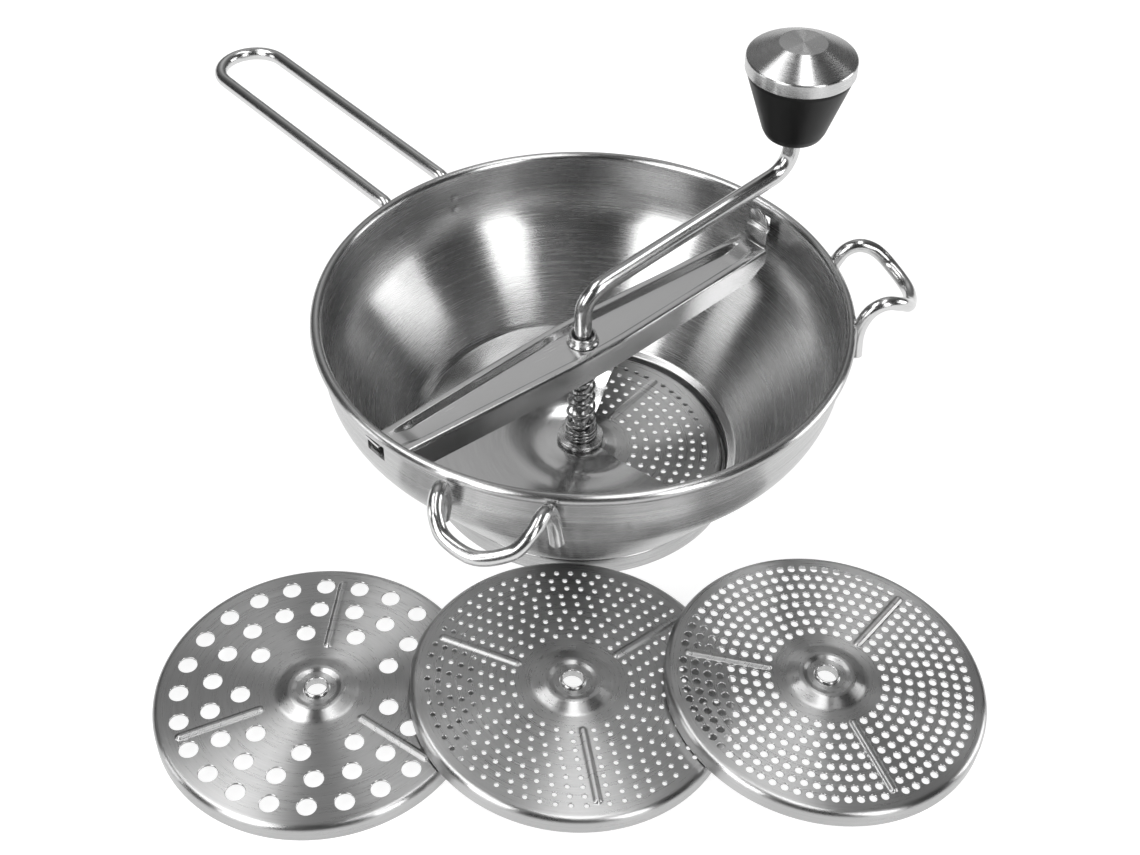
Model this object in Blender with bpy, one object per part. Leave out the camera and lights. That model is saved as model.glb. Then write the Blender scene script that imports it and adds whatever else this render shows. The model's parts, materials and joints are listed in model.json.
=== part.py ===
"""Rotary food mill: a hand-cranked bowl with a spring-loaded blade and four interchangeable discs.

Z is up and the mill stands on Z = 0. The bowl's axis passes through BOWL_AXIS, so that the origin is at
the middle of the whole set's footprint. Azimuths are in degrees about the bowl's axis, from +X towards +Y.
"""

import math

import bmesh
import bpy
from mathutils import Matrix, Vector

MM = 0.001

# Where the bowl's axis stands, from the middle of the set's footprint.
BOWL_AXIS = Vector((12.57, -1.41, 0)) * MM

# Gap kept between pieces that touch.
GAP = 0.3

# Bowl, in millimetres.
RIM_RADIUS = 120.0
RIM_TOP = 97.1
WALL_INNER = 115.0
WALL_OUTER = 116.2
WELL_RADIUS = 69.8
SEAT_OPENING = 62.0
SEAT_HEIGHT = 3.8
FOOT_RADIUS = 72.6
FOOT_TOP = 9.6
SLOT_TOP = 91.6
BOWL_STEPS = 48

# Discs, in millimetres.
DISC_RADIUS = 67.5
DISC_HEIGHT = 7.4
DISC_SHEET = 1.0
DOME_RISE = 2.0
BUSH_BORE = 4.3
BUSH_RADIUS = 5.3
BUSH_FOOT = 6.0
DISC_STEPS = 32
RIB_AZIMUTHS = (52, 172, 292)
RIB_WIDTH = 3.6
RIB_RISE = 0.8
COARSE_HOLE = 8.0

# Spare discs: middle of each, from the bowl's axis, the lean that rests each on the one before, and its turn.
SPARE_PLACES = {
    "coarse_disc": (-107.0, -146.0, 0.0, 33.75),
    "fine_disc": (-1.5, -142.5, 3.95, -11.25),
    "medium_disc": (104.0, -137.0, 4.3, 0.0),
}

# Wire handles, in millimetres.
LONG_WIRE = 6.5
LONG_AZIMUTH = 132.0
LONG_SPREAD = 34.0
LONG_LEVEL = 91.0
LONG_REACH = 281.0
LONG_LEG_FOOT = 66.0
HOOK_WIRE = 6.2
FRONT_HOOK_AZIMUTH = -105.3
SIDE_HOOK_AZIMUTH = 9.9

# Crossbar, in millimetres, along its own azimuth.
BAR_AZIMUTH = 42.0
BAR_END = 108.0
BAR_RIDGE_TOP = 79.0
BAR_PANEL_TOP = 76.2
BAR_SHEET = 1.2
BAR_FLANGE_FOOT = 66.0
BAR_MIDDLE_WIDTH = 28.0
BAR_END_WIDTH = 18.5
BAR_HOLE = 5.6
TAB_TOP = 97.0
TONGUE_WIDTH = 8.8
TONGUE_SHIFT = -4.2
# Slots in the bowl's wall: azimuth, width and bottom of each.
SLOTS = {"hinge_slot": (-135.8, 13.5, 79.2), "catch_slot": (BAR_AZIMUTH, 9.0, 85.6)}
PIVOT_REACH = 115.6
PIVOT_HEIGHT = 89.3

# Crank, in millimetres.
ROD = 8.0
ROD_FOOT = 15.3
SPIGOT_FOOT = 12.1
CRANK_AZIMUTH = 36.0
CRANK_REACH = 114.5
ELBOW_HEIGHT = 101.5
ARM_END_HEIGHT = 126.0
BEND_RADIUS = 13.0
KNOB_FOOT = 144.0
KNOB_TOP = 190.5
KNOB_CAP_FOOT = 177.2

# Blade and spring, in millimetres.
BLADE_SHEET = 1.0
BLADE_START = -34.0
BLADE_SWEEP = 260.0
BLADE_LOW = 12.5
BLADE_HUB_LIFT = 2.4
BLADE_RISE = 16.5
BLADE_BORE = 8.2
SEAT_FOOT = 17.2
SEAT_NECK = 24.0
SPRING_WIRE = 1.5
SPRING_FOOT = 18.9
SPRING_TOP = 74.1
CLOSED_COILS = 2.6
OPEN_COILS = 7.6


def mm(*values):
    """A point given in millimetres, in metres."""
    return Vector(values) * MM


def polar(radius, azimuth, height=0.0):
    """A point in millimetres at an azimuth in degrees."""
    angle = math.radians(azimuth)
    return Vector((radius * math.cos(angle), radius * math.sin(angle), height))


def blend(value, low, high):
    """0 below low, 1 above high, and a smooth rise between them."""
    part = min(max((value - low) / (high - low), 0.0), 1.0)
    return part * part * (3 - 2 * part)


def between(value, table):
    """Reads a table of (place, amount) pairs, with straight steps from one pair to the next."""
    for (start, first), (end, second) in zip(table, table[1:]):
        if value <= end:
            return first + (second - first) * (value - start) / (end - start)
    return table[-1][1]


# Materials


def material(name, colour, roughness, metallic):
    made = bpy.data.materials.new(name)
    made.use_nodes = True
    shader = made.node_tree.nodes["Principled BSDF"]
    shader.inputs["Base Color"].default_value = (*colour, 1)
    shader.inputs["Roughness"].default_value = roughness
    shader.inputs["Metallic"].default_value = metallic
    return made


def make_materials():
    return {
        "brushed": material("brushed_steel", (0.66, 0.66, 0.65), 0.30, 1),
        "polished": material("polished_steel", (0.78, 0.78, 0.77), 0.14, 1),
        "satin": material("satin_steel", (0.70, 0.70, 0.69), 0.36, 1),
        "spring": material("spring_steel", (0.60, 0.60, 0.60), 0.22, 1),
        "black": material("black_plastic", (0.02, 0.02, 0.02), 0.38, 0),
    }


# Shapes


def add_object(name, data, finish):
    obj = bpy.data.objects.new(name, data)
    data.materials.append(finish)
    bpy.context.scene.collection.objects.link(obj)
    return obj


def object_from(name, bm, finish, sharp=35):
    """Turns a finished bmesh into an object that is smooth except at its sharp edges."""
    bmesh.ops.recalc_face_normals(bm, faces=bm.faces)
    mesh = bpy.data.meshes.new(name)
    bm.to_mesh(mesh)
    bm.free()
    mesh.shade_smooth()
    mesh.set_sharp_from_angle(angle=math.radians(sharp))
    return add_object(name, mesh, finish)


def turned(name, outline, steps, finish):
    """A closed outline of (radius, height) points in millimetres, turned about Z."""
    bm = bmesh.new()
    rings = []
    for radius, height in outline:
        if radius == 0:
            rings.append([bm.verts.new(mm(0, 0, height))] * steps)
            continue
        rings.append([bm.verts.new(polar(radius, 360 * i / steps, height) * MM) for i in range(steps)])
    for ring, after in zip(rings, rings[1:] + rings[:1]):
        for i in range(steps):
            j = (i + 1) % steps
            corners = list(dict.fromkeys((ring[i], ring[j], after[j], after[i])))
            if len(corners) > 2:
                bm.faces.new(corners)
    return object_from(name, bm, finish)


def lofted(name, sections, finish):
    """Closed sections with the same number of points, joined one after another and closed at both ends."""
    bm = bmesh.new()
    loops = [[bm.verts.new(point * MM) for point in section] for section in sections]
    count = len(loops[0])
    for loop, after in zip(loops, loops[1:]):
        for i in range(count):
            j = (i + 1) % count
            bm.faces.new((loop[i], loop[j], after[j], after[i]))
    for loop in (loops[0], loops[-1]):
        cap = bm.faces.new(loop)
        cap.normal_update()
        bmesh.ops.triangulate(bm, faces=[cap])
    return object_from(name, bm, finish)


def wire(name, points, diameter, finish, thickness=None, resolution=2):
    """A round wire along a path in millimetres. The thickness list scales it at each point."""
    curve = bpy.data.curves.new(name, "CURVE")
    curve.dimensions = "3D"
    curve.bevel_depth = diameter / 2 * MM
    curve.bevel_resolution = resolution
    curve.use_fill_caps = True
    spline = curve.splines.new("POLY")
    spline.points.add(len(points) - 1)
    for i, (slot, point) in enumerate(zip(spline.points, points)):
        slot.co = (*(point * MM), 1)
        slot.radius = thickness[i] if thickness else 1
    spline.use_smooth = True
    return add_object(name, curve, finish)


def bent_wire(name, points, diameter, finish):
    """A round wire on one smooth curve through points in millimetres."""
    curve = bpy.data.curves.new(name, "CURVE")
    curve.dimensions = "3D"
    curve.bevel_depth = diameter / 2 * MM
    curve.bevel_resolution = 2
    curve.resolution_u = 3
    curve.use_fill_caps = True
    spline = curve.splines.new("BEZIER")
    spline.bezier_points.add(len(points) - 1)
    for slot, point in zip(spline.bezier_points, points):
        slot.co = point * MM
        slot.handle_left_type = slot.handle_right_type = "AUTO"
    return add_object(name, curve, finish)


def rounded(corners, radius, arc_points=5):
    """A path through corners in millimetres, with each inner corner rounded to the radius."""
    path = [corners[0]]
    for before, corner, after in zip(corners, corners[1:], corners[2:]):
        back = (before - corner).normalized()
        onward = (after - corner).normalized()
        half_turn = (math.pi - back.angle(onward)) / 2
        centre = corner + (back + onward).normalized() * radius / math.cos(half_turn)
        start = (corner + back * radius * math.tan(half_turn) - centre).normalized()
        end = (corner + onward * radius * math.tan(half_turn) - centre).normalized()
        for i in range(arc_points + 1):
            share = i / arc_points
            direction = start * math.sin((1 - share) * 2 * half_turn) + end * math.sin(share * 2 * half_turn)
            path.append(centre + direction.normalized() * radius)
    path.append(corners[-1])
    return path


def block(name, low, high, finish):
    """A box between two corners in millimetres."""
    bm = bmesh.new()
    bmesh.ops.create_cube(bm, size=1)
    size = Vector(high) - Vector(low)
    middle = (Vector(high) + Vector(low)) / 2
    bmesh.ops.scale(bm, vec=size * MM, verts=bm.verts)
    bmesh.ops.translate(bm, vec=middle * MM, verts=bm.verts)
    return object_from(name, bm, finish)


def as_cutter(obj):
    obj.hide_render = True
    obj.display_type = "WIRE"
    return obj


def combine(obj, other, operation):
    """Adds an exact Boolean that cuts other from obj, or joins it on."""
    step = obj.modifiers.new(other.name, "BOOLEAN")
    step.operation = operation
    step.solver = "EXACT"
    step.object = as_cutter(other)


def hold(pieces, holder):
    """Parents pieces and their cutters to a holder without moving them."""
    bpy.context.view_layer.update()
    pieces = list(pieces)
    cutters = [step.object for piece in pieces for step in piece.modifiers]
    for piece in pieces + cutters:
        piece.parent = holder
        piece.matrix_parent_inverse = holder.matrix_world.inverted()


def axis_empty(name, place, turn=0.0):
    """An empty on a joint's axis, at a place in millimetres from the bowl's axis."""
    empty = bpy.data.objects.new(name, None)
    empty.location = place * MM
    empty.rotation_euler.z = math.radians(turn)
    bpy.context.scene.collection.objects.link(empty)
    return empty


# Bowl group


def bowl_outline():
    """Inner side from the disc's seat up, round the rolled rim, and down the outer side."""
    inner = [(SEAT_OPENING, SEAT_HEIGHT), (69.0, SEAT_HEIGHT), (WELL_RADIUS, 4.6), (WELL_RADIUS, 10.6)]
    inner += [(71.2, 12.2), (76.8, 14.8), (84.2, 25.0), (92.2, 37.0), (100.9, 49.0), (109.3, 60.6)]
    inner += [(113.3, 67.4), (114.8, 73.0), (WALL_INNER, 80.0), (WALL_INNER, 94.4)]
    bead = [(115.7, 96.4), (117.5, RIM_TOP), (119.3, 96.4), (RIM_RADIUS, 94.6), (119.3, 92.8), (117.6, 92.1)]
    outer = [(WALL_OUTER, 91.7), (WALL_OUTER, 80.0), (116.0, 73.0), (114.5, 67.0), (110.5, 59.8)]
    outer += [(102.0, 48.2), (93.3, 36.2), (85.4, 24.2), (78.0, 13.6), (72.2, 11.0), (71.0, 9.6)]
    outer += [(71.0, 2.6), (SEAT_OPENING, 2.6)]
    return inner + bead + outer


def make_bowl(finish):
    bowl = turned("bowl", bowl_outline(), BOWL_STEPS, finish)
    for name, (azimuth, width, bottom) in SLOTS.items():
        low = (WALL_INNER - 6, -width / 2, bottom)
        cutter = block(name, low, (WALL_OUTER + 6, width / 2, SLOT_TOP), finish)
        cutter.rotation_euler.z = math.radians(azimuth)
        combine(bowl, cutter, "DIFFERENCE")
    return bowl


def make_foot_ring(finish):
    inner = 71.0 + GAP
    outline = [(69.4, 0), (FOOT_RADIUS, 0), (FOOT_RADIUS, FOOT_TOP - 0.6), (FOOT_RADIUS - 0.5, FOOT_TOP)]
    outline += [(inner, FOOT_TOP), (inner, 2.0), (69.4, 2.0)]
    return turned("foot_ring", outline, BOWL_STEPS, finish)


def make_long_handle(finish):
    """Two level wires joined by a half circle, with their near ends bent down along the wall."""
    side = LONG_SPREAD / 2
    leg = math.sqrt((WALL_OUTER + GAP + LONG_WIRE / 2) ** 2 - side**2) + 0.1
    straight = LONG_REACH - side
    foot = Vector((leg, -side, LONG_LEG_FOOT))
    elbow = Vector((leg, -side, LONG_LEVEL))
    first = rounded([foot, elbow, Vector((straight, -side, LONG_LEVEL))], 8.0)
    loop = [Vector((straight, 0, LONG_LEVEL)) + polar(side, angle) for angle in range(-72, 73, 18)]
    second = [Vector((point.x, -point.y, point.z)) for point in reversed(first)]
    turn = Matrix.Rotation(math.radians(LONG_AZIMUTH), 3, "Z")
    return wire("long_handle", [turn @ point for point in first + loop + second], LONG_WIRE, finish)


def make_hook(name, azimuth, finish):
    """A wire that rises from the wall, arches over beside the rim, and hangs down in a loop."""
    half = [(24.2, 119.8, 74.0), (22.9, 119.8, 84.0), (22.2, 121.6, 91.5), (21.9, 125.6, 97.6)]
    half += [(21.2, 132.0, 99.9), (19.3, 139.3, 97.3), (13.4, 145.6, 91.8)]
    points = [(-side, out, up) for side, out, up in half] + [(0, 149.4, 89.0)] + half[::-1]
    turn = Matrix.Rotation(math.radians(azimuth), 3, "Z")
    return bent_wire(name, [turn @ Vector((out, side, up)) for side, out, up in points], HOOK_WIRE, finish)


# Discs


def disc_outline():
    """A plate with its rim turned down, a low dome in the middle, and a hole for its bush."""
    top = DISC_HEIGHT
    bore = BUSH_RADIUS + GAP
    upper = [(bore, top + DOME_RISE), (14.0, top + DOME_RISE), (24.0, top), (64.6, top), (66.7, top - 0.8)]
    upper += [(DISC_RADIUS, top - 2.8), (DISC_RADIUS, 0)]
    lower = [(66.5, 0), (66.5, top - 2.9), (64.4, top - DISC_SHEET), (24.0, top - DISC_SHEET)]
    lower += [(14.0, top + DOME_RISE - DISC_SHEET), (bore, top + DOME_RISE - DISC_SHEET)]
    return upper + lower


def bush_outline():
    """A short bush with a small head over the dome."""
    top = DISC_HEIGHT + DOME_RISE
    outline = [(BUSH_BORE, BUSH_FOOT), (BUSH_RADIUS, BUSH_FOOT), (BUSH_RADIUS, top + 0.2)]
    return outline + [(BUSH_BORE + 0.4, top + 0.6), (BUSH_BORE, top + 0.6)]


def make_rib(name, azimuth, finish):
    """A pressed radial rib, sunk into the plate so that it joins."""
    top = DISC_HEIGHT + RIB_RISE
    sections = []
    for reach, scale in ((22.0, 0.35), (26.0, 1.0), (56.0, 1.0), (60.0, 0.35)):
        half = RIB_WIDTH / 2 * scale
        rise = DISC_HEIGHT - 0.3 + (top - DISC_HEIGHT + 0.3) * scale
        corners = [(-half, DISC_HEIGHT - 0.5), (-half, DISC_HEIGHT - 0.2), (-half * 0.5, rise)]
        corners += [(half * 0.5, rise), (half, DISC_HEIGHT - 0.2), (half, DISC_HEIGHT - 0.5)]
        sections.append([Vector((reach, side, up)) for side, up in corners])
    rib = lofted(name, sections, finish)
    rib.rotation_euler.z = math.radians(azimuth)
    return rib


def coarse_holes(turn):
    """Middles of the coarse holes: three sectors, each with three rows."""
    holes = []
    for sector in RIB_AZIMUTHS:
        for radius, count in ((57.0, 8), (44.0, 6), (31.5, 3)):
            for i in range(count):
                holes.append(polar(radius, sector + turn + 120 * (i + 0.5) / count))
    return holes


def cut_coarse_holes(disc, turn, finish):
    """Cuts the coarse holes with one short eight-sided punch for each."""
    punch = {"radius1": COARSE_HOLE / 2 * MM, "radius2": COARSE_HOLE / 2 * MM, "depth": 6 * MM}
    bm = bmesh.new()
    for middle in coarse_holes(turn):
        made = bmesh.ops.create_cone(bm, cap_ends=True, segments=8, **punch)
        bmesh.ops.translate(bm, vec=(middle + Vector((0, 0, DISC_HEIGHT))) * MM, verts=made["verts"])
    combine(disc, object_from(disc.name + "_holes", bm, finish), "DIFFERENCE")


def make_disc(name, turn, finishes):
    """A disc and its bush, standing on Z = 0 about the origin and turned by some degrees."""
    disc = turned(name, disc_outline(), DISC_STEPS, finishes["satin"])
    for number, azimuth in enumerate(RIB_AZIMUTHS):
        combine(disc, make_rib(f"{name}_rib_{number}", azimuth + turn, finishes["satin"]), "UNION")
    bush = turned(name + "_bush", bush_outline(), 20, finishes["polished"])
    return disc, bush


def move_disc(pieces, holder, place, lean=0.0):
    """Puts a disc's holder at a place in millimetres, leaning about Y on its right-hand edge."""
    holder.location = place * MM
    lift = DISC_RADIUS * math.sin(math.radians(lean))
    holder.location.z += lift * MM
    holder.rotation_euler.y = math.radians(lean)
    for piece in pieces:
        piece.parent = holder
        for step in piece.modifiers:
            step.object.parent = holder


# Crossbar group


def bar_section(along, width, recess, corner):
    """One section of the pressed channel: the outer side, then the inner side back."""
    half = width / 2
    panel = BAR_RIDGE_TOP - recess
    side = [(half, BAR_FLANGE_FOOT + corner), (half, BAR_RIDGE_TOP - 1.5), (half - 1.5, BAR_RIDGE_TOP)]
    side += [(half - 4.2, BAR_RIDGE_TOP), (half - 6.2, panel)]
    outer = side + [(-out, up) for out, up in reversed(side)]
    under = [(half - BAR_SHEET, BAR_FLANGE_FOOT + corner), (half - BAR_SHEET, BAR_RIDGE_TOP - 2.0)]
    under += [(half - 1.9, BAR_RIDGE_TOP - BAR_SHEET), (half - 4.6, BAR_RIDGE_TOP - BAR_SHEET)]
    under += [(half - 6.7, panel - BAR_SHEET)]
    inner = [(-out, up) for out, up in under] + list(reversed(under))
    return [Vector((along, out, up)) for out, up in outer + inner]


def make_crossbar(finish):
    stations = [(-BAR_END, 0.0, 6.0), (-BAR_END + 6, 0.0, 2.0), (-BAR_END + 14, 1.0, 0.0), (-72, 1.0, 0.0)]
    stations += [(-36, 1.0, 0.0), (-13, 1.0, 0.0), (13, 1.0, 0.0), (36, 1.0, 0.0), (72, 1.0, 0.0)]
    stations += [(BAR_END - 14, 1.0, 0.0), (BAR_END - 6, 0.0, 2.0), (BAR_END, 0.0, 6.0)]
    sections = []
    for along, depth, corner in stations:
        taper = max(abs(along) - 13, 0) / (BAR_END - 13)
        width = BAR_MIDDLE_WIDTH + (BAR_END_WIDTH - BAR_MIDDLE_WIDTH) * taper
        recess = 0.3 + (BAR_RIDGE_TOP - BAR_PANEL_TOP - 0.3) * depth
        sections.append(bar_section(along, width, recess, corner))
    bar = lofted("crossbar", sections, finish)
    hole = [(0, BAR_PANEL_TOP - 4), (BAR_HOLE, BAR_PANEL_TOP - 4), (BAR_HOLE, 82), (0, 82)]
    combine(bar, turned("shaft_hole", hole[::-1], 20, finish), "DIFFERENCE")
    return bar


def plate_along_bar(name, outline, half_width, corner, finish):
    """A strip bent in the bar's own X-Z plane, with its far end rounded by a narrower edge."""
    sections = []
    edges = ((-half_width, corner), (-half_width + corner, 0), (half_width - corner, 0), (half_width, corner))
    for side, inset in edges:
        sections.append([Vector((along, side, up - (inset if far else 0))) for along, up, far in outline])
    return lofted(name, sections, finish)


def make_finger_tab(finish):
    """An upright tab standing on the bar's far end, with a rounded top and a small catch nose."""
    foot = BAR_RIDGE_TOP + GAP
    inner, outer = BAR_END + 1.8, BAR_END + 3.0
    outline = [(BAR_END - 9, foot, False), (outer, foot, False), (outer, 86.5, False)]
    outline += [(outer + 2.2, 88.2, False), (outer - 0.2, 90.2, False), (outer - 0.2, TAB_TOP, True)]
    outline += [(inner, TAB_TOP, True), (inner, foot + 1.2, False)]
    outline += [(BAR_END - 9, foot + 1.2, False)]
    return plate_along_bar("finger_tab", outline, 6.5, 3.5, finish)


def make_tongue(finish):
    """A bent tongue on the bar's near end that reaches out through the wall's slot."""
    foot = BAR_RIDGE_TOP + GAP
    outline = [(-BAR_END + 9, foot, False), (-BAR_END + 9, foot + 1.2, False), (-111.8, foot + 1.2, False)]
    outline += [(-111.8, 90.4, False), (-118.4, 90.4, False), (-118.4, 89.2, False), (-113.0, 89.2, False)]
    outline += [(-113.0, foot, False)]
    return plate_along_bar("crossbar_tongue", outline, TONGUE_WIDTH / 2, 1.0, finish)


def make_collar(finish):
    """The bush in the bar's shaft hole, with a low flange over the panel."""
    outer = BAR_HOLE - GAP
    top = BAR_PANEL_TOP + 2.6
    bore = ROD / 2 + 0.5
    outline = [(bore, BAR_PANEL_TOP - 1.6), (outer, BAR_PANEL_TOP - 1.6), (outer, BAR_PANEL_TOP + GAP)]
    outline += [(outer + 1.5, BAR_PANEL_TOP + GAP), (outer + 0.9, top), (bore + 0.4, top), (bore, top - 0.5)]
    return turned("crossbar_collar", outline[::-1], 24, finish)


# Spring group


def make_spring(finish):
    """Closed coils at the foot, then open coils that narrow towards the top."""
    per_turn = 10
    turns = CLOSED_COILS + OPEN_COILS
    closed_rise = CLOSED_COILS * (SPRING_WIRE + 0.45)
    open_rise = SPRING_TOP - SPRING_FOOT - SPRING_WIRE - closed_rise
    points = []
    for i in range(int(turns * per_turn) + 1):
        turn = i / per_turn
        if turn < CLOSED_COILS:
            height = turn / CLOSED_COILS * closed_rise
        else:
            height = closed_rise + (turn - CLOSED_COILS) / OPEN_COILS * open_rise
        radius = 7.1 - 1.3 * blend(turn, 1.0, 6.0)
        points.append(polar(radius, 360 * turn + 200, SPRING_FOOT + SPRING_WIRE / 2 + height))
    return wire("pressure_spring", points, SPRING_WIRE, finish, resolution=1)


def make_spring_seat(finish):
    """A flanged cup: the flange carries the spring and the neck centres it."""
    bore = ROD / 2 + 0.5
    outline = [(bore, SEAT_FOOT), (10.8, SEAT_FOOT), (11.0, SEAT_FOOT + 0.6), (10.6, SPRING_FOOT - GAP)]
    outline += [(5.7, SPRING_FOOT - GAP), (5.5, SEAT_NECK - 0.5), (5.1, SEAT_NECK), (bore, SEAT_NECK)]
    return turned("spring_seat", outline[::-1], 28, finish)


# Crank group


def crank_path():
    """The rod's path: up the shaft, along the arm and up into the knob."""
    corners = [Vector((0, 0, ROD_FOOT)), Vector((0, 0, ELBOW_HEIGHT))]
    corners += [polar(CRANK_REACH, CRANK_AZIMUTH, height) for height in (ARM_END_HEIGHT, KNOB_CAP_FOOT)]
    return rounded(corners, BEND_RADIUS, 6)


def make_crank_rod(finish):
    """One bent rod: a thin spigot at its foot, the shaft, the arm and the knob's axle."""
    spigot = [Vector((0, 0, SPIGOT_FOOT)), Vector((0, 0, ROD_FOOT - 0.1))]
    points = spigot + crank_path()
    thickness = [0.42, 0.58] + [1.0] * (len(points) - 2)
    return wire("crank_rod", points, ROD, finish, thickness, resolution=3)


def blade_edge(share):
    """Radius of the blade's outer edge: 0 at the trailing edge, 1 at the raised leading edge."""
    table = ((0, 66.3), (0.15, 67.6), (0.35, 71.0), (0.6, 74.3), (0.75, 74.0), (0.83, 72.0))
    table += ((0.88, 67.5), (0.92, 59.0), (0.95, 50.5), (0.975, 43.5), (1.0, 38.0))
    return between(share, table)


def blade_height(radius, share):
    """Underside of the blade: a dome in the middle, and a ramp that rises towards the leading edge."""
    hub = BLADE_HUB_LIFT * (1 - blend(radius, 12, 25))
    ramp = BLADE_RISE * share**1.15 * blend(radius, 10, 42)
    return BLADE_LOW + hub + ramp


def make_blade(finish):
    """A helical sheet made of radial rows, joined into a ring round the hub."""
    rows, columns = 26, 7
    bm = bmesh.new()
    sheets = []
    for lift in (0.0, BLADE_SHEET):
        grid = []
        for i in range(rows + 1):
            share = (i / rows) ** 0.85
            azimuth = BLADE_START - BLADE_SWEEP * share
            edge = blade_edge(share)
            line = []
            for k in range(columns + 1):
                radius = BLADE_BORE + (edge - BLADE_BORE) * k / columns
                point = polar(radius, azimuth, blade_height(radius, share) + lift)
                line.append(bm.verts.new(point * MM))
            grid.append(line)
        sheets.append(grid)
    low, high = sheets
    for i in range(rows):
        for k in range(columns):
            bm.faces.new((low[i][k], low[i + 1][k], low[i + 1][k + 1], low[i][k + 1]))
            bm.faces.new((high[i][k], high[i][k + 1], high[i + 1][k + 1], high[i + 1][k]))
        for k in (0, columns):
            bm.faces.new((low[i][k], high[i][k], high[i + 1][k], low[i + 1][k]))
    for i in (0, rows):
        for k in range(columns):
            bm.faces.new((low[i][k], low[i][k + 1], high[i][k + 1], high[i][k]))
    return object_from("blade", bm, finish, 40)


def make_blade_hub(finish):
    """A sleeve through the blade's middle, with a conical flange over it."""
    sleeve = BLADE_BORE - GAP
    outline = [(4.4, 14.4), (sleeve, 14.4), (sleeve, 16.25), (11.4, 16.25), (9.8, 16.9), (4.4, 16.9)]
    return turned("blade_hub", outline[::-1], 28, finish)


# Knob group


def make_knob(finishes):
    """The grip with its bush, the cap over it, and the rivet that holds the grip on the rod's end."""
    bush_top = KNOB_CAP_FOOT - 0.4
    hollow_top = KNOB_CAP_FOOT + 5.4
    body = [(6.3, KNOB_FOOT), (11.4, KNOB_FOOT), (13.6, KNOB_FOOT + 1.3), (14.6, KNOB_FOOT + 3.6)]
    body += [(17.0, 153.0), (19.4, 161.0), (21.8, 169.0), (23.3, 175.0), (23.5, KNOB_CAP_FOOT - GAP)]
    body += [(6.3, KNOB_CAP_FOOT - GAP)]
    cap = [(7.6, KNOB_CAP_FOOT), (24.0, KNOB_CAP_FOOT), (24.6, KNOB_CAP_FOOT + 0.8)]
    cap += [(24.6, KNOB_CAP_FOOT + 5.6), (23.9, KNOB_CAP_FOOT + 6.6), (11.2, KNOB_TOP - 0.5)]
    cap += [(9.8, KNOB_TOP), (0, KNOB_TOP)]
    cap += [(0, hollow_top), (7.6, hollow_top)]
    bush = [(4.3, KNOB_FOOT - 0.6), (6.0, KNOB_FOOT - 0.6), (6.0, bush_top), (4.3, bush_top)]
    rivet = [(0, KNOB_CAP_FOOT + GAP), (5.8, KNOB_CAP_FOOT + GAP), (5.8, 178.9), (4.0, 180.0), (0, 180.0)]
    pieces = {
        "knob_body": turned("knob_body", body[::-1], 32, finishes["black"]),
        "knob_cap": turned("knob_cap", cap[::-1], 32, finishes["brushed"]),
        "knob_bush": turned("knob_bush", bush[::-1], 20, finishes["polished"]),
        "knob_rivet": turned("knob_rivet", rivet[::-1], 16, finishes["polished"]),
    }
    for piece in pieces.values():
        piece.location = polar(CRANK_REACH, CRANK_AZIMUTH) * MM
    return pieces


# Assembly


def make_set():
    finishes = make_materials()
    mill = axis_empty("mill", Vector((0, 0, 0)))

    fixed = [make_bowl(finishes["brushed"]), make_foot_ring(finishes["brushed"])]
    fixed += [make_long_handle(finishes["polished"])]
    fixed += [make_hook("front_hook", FRONT_HOOK_AZIMUTH, finishes["polished"])]
    fixed += [make_hook("side_hook", SIDE_HOOK_AZIMUTH, finishes["polished"])]
    seated = axis_empty("disc_seat", Vector((0, 0, SEAT_HEIGHT + GAP)))
    move_disc(make_disc("fitted_disc", 0.0, finishes), seated, Vector((0, 0, SEAT_HEIGHT + GAP)))
    fixed.append(seated)
    hold(fixed, mill)

    crossbar = [make_crossbar(finishes["brushed"]), make_finger_tab(finishes["brushed"])]
    crossbar += [make_tongue(finishes["brushed"]), make_collar(finishes["brushed"])]
    for piece in crossbar:
        piece.rotation_euler.z = math.radians(BAR_AZIMUTH)
    bpy.data.objects["crossbar_tongue"].location = polar(TONGUE_SHIFT, BAR_AZIMUTH + 90) * MM
    crossbar_pivot = axis_empty("crossbar_pivot", polar(-PIVOT_REACH, BAR_AZIMUTH, PIVOT_HEIGHT), BAR_AZIMUTH)
    hold(crossbar, crossbar_pivot)
    hold([crossbar_pivot], mill)

    carriage = axis_empty("carriage", Vector((0, 0, SPRING_FOOT)))
    hold([make_spring(finishes["spring"]), make_spring_seat(finishes["brushed"])], carriage)
    hold([carriage], crossbar_pivot)

    crank = axis_empty("crank", Vector((0, 0, ROD_FOOT)))
    knob = make_knob(finishes)
    turning = [make_crank_rod(finishes["polished"]), make_blade(finishes["satin"])]
    turning += [make_blade_hub(finishes["satin"]), knob.pop("knob_rivet")]
    hold(turning, crank)
    hold([crank], carriage)

    knob_axis = axis_empty("knob_axis", polar(CRANK_REACH, CRANK_AZIMUTH, KNOB_FOOT))
    hold(knob.values(), knob_axis)
    hold([knob_axis], crank)

    for name, (right, back, lean, turn) in SPARE_PLACES.items():
        holder = axis_empty(name + "_place", Vector((0, 0, 0)))
        disc, bush = make_disc(name, turn, finishes)
        if name == "coarse_disc":
            cut_coarse_holes(disc, turn, finishes["satin"])
        move_disc((disc, bush), holder, Vector((right, back, 0)), lean)
        hold([holder], mill)

    mill.location = BOWL_AXIS


def clear_scene():
    for obj in list(bpy.data.objects):
        bpy.data.objects.remove(obj)


clear_scene()
make_set()
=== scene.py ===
"""The looks of a rotary food mill and its three spare discs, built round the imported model.

Every piece is modelled in millimetres in its own frame, with its own axis as Z, and then put where the
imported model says. The mill's axis and azimuths are those of the bowl.
"""

import json
import math

import bmesh
import bpy
import numpy as np
from mathutils import Matrix, Vector
from mathutils.geometry import delaunay_2d_cdt


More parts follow.
